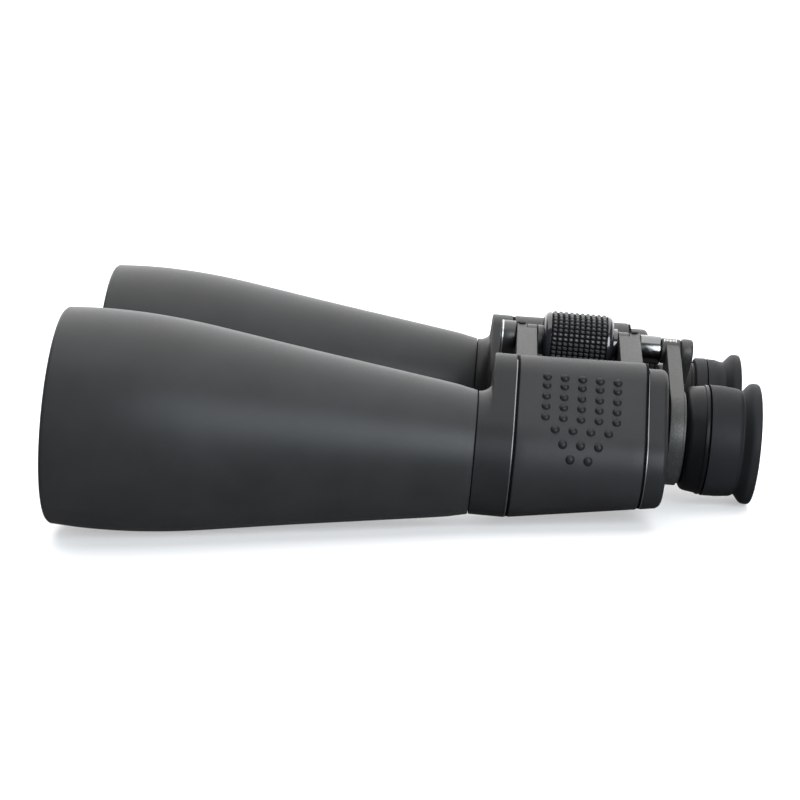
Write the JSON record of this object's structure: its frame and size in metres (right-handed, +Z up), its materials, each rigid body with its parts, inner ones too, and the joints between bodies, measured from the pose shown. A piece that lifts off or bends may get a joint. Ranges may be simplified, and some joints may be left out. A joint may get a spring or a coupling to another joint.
{
  "type": "binoculars",
  "caption": "Giant Porro-prism binocular with flared objective barrels on offset prism housings, a centre hinge, a knurled focus wheel, a bridge carrying the eyepieces and a dioptre ring.",
  "frame": {"origin": "centre of the bounding box, on the table it rests on", "axes": "+Y towards the objectives (the nose tips up 6.2 degrees at rest), +X to the user's right, +Z up"},
  "size_m": [0.216, 0.2854, 0.0899],
  "materials": {
    "barrel_coat": "soft-touch black coat over aluminium, matte",
    "armour": "smooth matte black rubber with raised dots",
    "cover_plastic": "satin black moulded plastic",
    "cap_plastic": "satin black moulded plastic",
    "grey_paint": "fine textured dark grey paint over die-cast aluminium",
    "eyecup_rubber": "matte black rubber",
    "grip_rubber": "black rubber with a pyramid knurl",
    "gloss_black": "gloss black",
    "anodised": "matte black anodised",
    "brass": "plain machined",
    "spring_steel": "plain spring steel",
    "screw_steel": "blackened steel",
    "glass": "clear optical glass",
    "coated_glass": "optical glass with a green-blue anti-reflection coating"
  },
  "bodies": {
    "left_body": {"left_prism_housing": "grey_paint", "left_side_armour": "armour", "left_front_cover": "cover_plastic", "left_rear_cover": "cover_plastic", "left_prism_shelf": "anodised", "left_rear_prism": "glass", "left_front_prism": "glass", "left_rear_prism_strap": "spring_steel", "left_front_prism_strap": "spring_steel", "left_objective_barrel": "barrel_coat", "left_objective_cell": "anodised", "left_objective_flint": "glass", "left_objective_crown": "coated_glass", "left_objective_ring": "anodised", "left_eyepiece_guide": "anodised", "front_hinge_screw": "screw_steel", "rear_hinge_screw": "screw_steel", "front_hinge_tube": "anodised", "rear_hinge_tube": "anodised", "front_thrust_bush": "anodised", "spindle_sleeve": "gloss_black", "tripod_socket_bush": "brass"},
    "right_body": {"right_prism_housing": "grey_paint", "right_side_armour": "armour", "right_front_cover": "cover_plastic", "right_rear_cover": "cover_plastic", "right_prism_shelf": "anodised", "right_rear_prism": "glass", "right_front_prism": "glass", "right_rear_prism_strap": "spring_steel", "right_front_prism_strap": "spring_steel", "right_objective_barrel": "barrel_coat", "right_objective_cell": "anodised", "right_objective_flint": "glass", "right_objective_crown": "coated_glass", "right_objective_ring": "anodised", "right_eyepiece_guide": "anodised"},
    "focus_wheel": {"focus_wheel_hub": "gloss_black", "focus_wheel_grip": "grip_rubber"},
    "left_carriage": {"left_bridge_arm": "grey_paint", "focus_spindle": "brass", "bridge_end_screw": "gloss_black", "left_eyepiece_tube": "anodised", "left_field_lens": "glass", "left_eyepiece_collar": "cover_plastic", "left_ocular_barrel": "anodised", "left_eye_lens": "coated_glass", "left_eyecup": "eyecup_rubber"},
    "right_carriage": {"right_bridge_arm": "grey_paint", "right_eyepiece_tube": "anodised", "right_field_lens": "glass", "right_eyepiece_collar": "cover_plastic"},
    "right_ocular": {"right_ocular_barrel": "anodised", "right_eye_lens": "coated_glass"},
    "dioptre_ring": {"dioptre_ring": "eyecup_rubber", "right_eyecup": "eyecup_rubber"},
    "cap_screw": {"tripod_cap_screw": "brass"},
    "tripod_cap": {"tripod_cap": "cap_plastic"}
  },
  "joints": [
    {"name": "interpupillary_hinge", "type": "hinge", "parent": "left_body", "child": "right_body", "pos_m": [0, -0.0615, 0.06261], "axis": [0, 0.9941, 0.1086], "range_deg": [-3.6, 24.6]},
    {"name": "focus_wheel_turn", "type": "hinge", "parent": "left_body", "child": "focus_wheel", "pos_m": [0, -0.0615, 0.06261], "axis": [0, 0.9941, 0.1086], "range_deg": [0, 428]},
    {"name": "left_focus_slide", "type": "slide", "parent": "left_body", "child": "left_carriage", "axis": [0, -0.9941, -0.1086], "range_m": [0, 0.0095]},
    {"name": "right_focus_slide", "type": "slide", "parent": "right_body", "child": "right_carriage", "axis": [0, -0.9941, -0.1086], "range_m": [0, 0.0095]},
    {"name": "right_ocular_slide", "type": "slide", "parent": "right_carriage", "child": "right_ocular", "axis": [0, -0.9941, -0.1086], "range_m": [-0.0014, 0.0014]},
    {"name": "dioptre_turn", "type": "hinge", "parent": "right_ocular", "child": "dioptre_ring", "pos_m": [0.0351, -0.11795, 0.02677], "axis": [0, 0.9941, 0.1086], "range_deg": [-70.1, 70.1]},
    {"name": "cap_screw_slide", "type": "slide", "parent": "left_body", "child": "cap_screw", "axis": [0, 0.9941, 0.1086], "range_m": [0, 0.00508]},
    {"name": "tripod_cap_turn", "type": "hinge", "parent": "cap_screw", "child": "tripod_cap", "pos_m": [0, -0.0615, 0.06261], "axis": [0, 0.9941, 0.1086], "range_deg": [0, 1440.5]}
  ],
  "couplings": [
    {"joint": "focus_wheel_turn", "follows": "left_focus_slide", "rad_per_m": 785.4},
    {"joint": "right_focus_slide", "follows": "left_focus_slide", "ratio": 1},
    {"joint": "dioptre_turn", "follows": "right_ocular_slide", "rad_per_m": 872.66},
    {"joint": "tripod_cap_turn", "follows": "cap_screw_slide", "rad_per_m": 4947.4}
  ]
}
